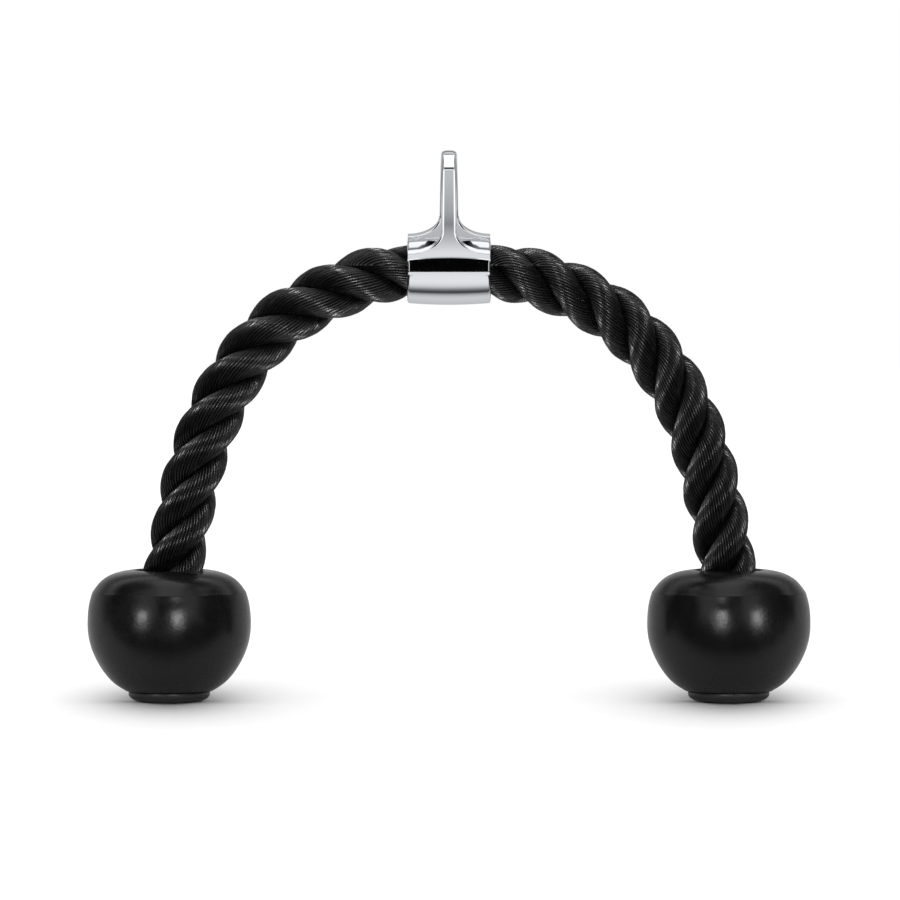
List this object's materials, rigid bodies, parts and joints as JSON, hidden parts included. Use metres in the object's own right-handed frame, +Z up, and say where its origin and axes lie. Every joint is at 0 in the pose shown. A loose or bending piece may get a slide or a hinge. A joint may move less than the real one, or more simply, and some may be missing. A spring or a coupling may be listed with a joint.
{
  "type": "triceps rope attachment",
  "caption": "Thick twisted rope bent into an arch through a chrome collar with a clip eye, with a rubber ball stopper on each end.",
  "frame": {"origin": "on the ground under the middle of the arch, between the two stoppers", "axes": "+X along the arch's span from the left stopper to the right one, +Y away from the viewer of the picture, +Z up"},
  "size_m": [0.4336, 0.0976, 0.3306],
  "materials": {
    "chrome": "polished chrome plate on a casting",
    "rope": "black laid synthetic rope, slightly shiny yarns",
    "rubber": "moulded black rubber, satin",
    "plastic": "moulded black plastic, satin",
    "steel": "plain steel",
    "aluminium": "crimped, plain"
  },
  "bodies": {
    "collar": {"eye_collar": "chrome"},
    "rope": {"rope_middle": "rope", "rope_bend_left": "rope", "rope_bend_right": "rope"},
    "arm_left": {"rope_arm_left": "rope", "ferrule_left": "aluminium"},
    "stopper_left": {"stopper_left": "rubber", "stopper_cap_left": "plastic", "washer_left": "steel"},
    "arm_right": {"rope_arm_right": "rope", "ferrule_right": "aluminium"},
    "stopper_right": {"stopper_right": "rubber", "stopper_cap_right": "plastic", "washer_right": "steel"}
  },
  "joints": [
    {"name": "collar_turn", "type": "hinge", "parent": "collar", "child": "rope", "pos_m": [0, 0, 0.2583], "axis": [1, 0, 0], "continuous": true},
    {"name": "bend_left", "type": "hinge", "parent": "rope", "child": "arm_left", "pos_m": [-0.0575, 0, 0.2512], "axis": [0, -1, 0], "range_deg": [-30, 28], "stiffness_Nm_per_rad": 8, "deforming": ["rope_bend_left"]},
    {"name": "bend_right", "type": "hinge", "parent": "rope", "child": "arm_right", "pos_m": [0.058, 0, 0.2519], "axis": [0, 1, 0], "range_deg": [-30, 28], "stiffness_Nm_per_rad": 8, "deforming": ["rope_bend_right"]},
    {"name": "spin_left", "type": "hinge", "parent": "arm_left", "child": "stopper_left", "pos_m": [-0.168, 0, 0.04], "axis": [0, 0, 1], "continuous": true},
    {"name": "spin_right", "type": "hinge", "parent": "arm_right", "child": "stopper_right", "pos_m": [0.168, 0, 0.04], "axis": [0, 0, 1], "continuous": true}
  ]
}
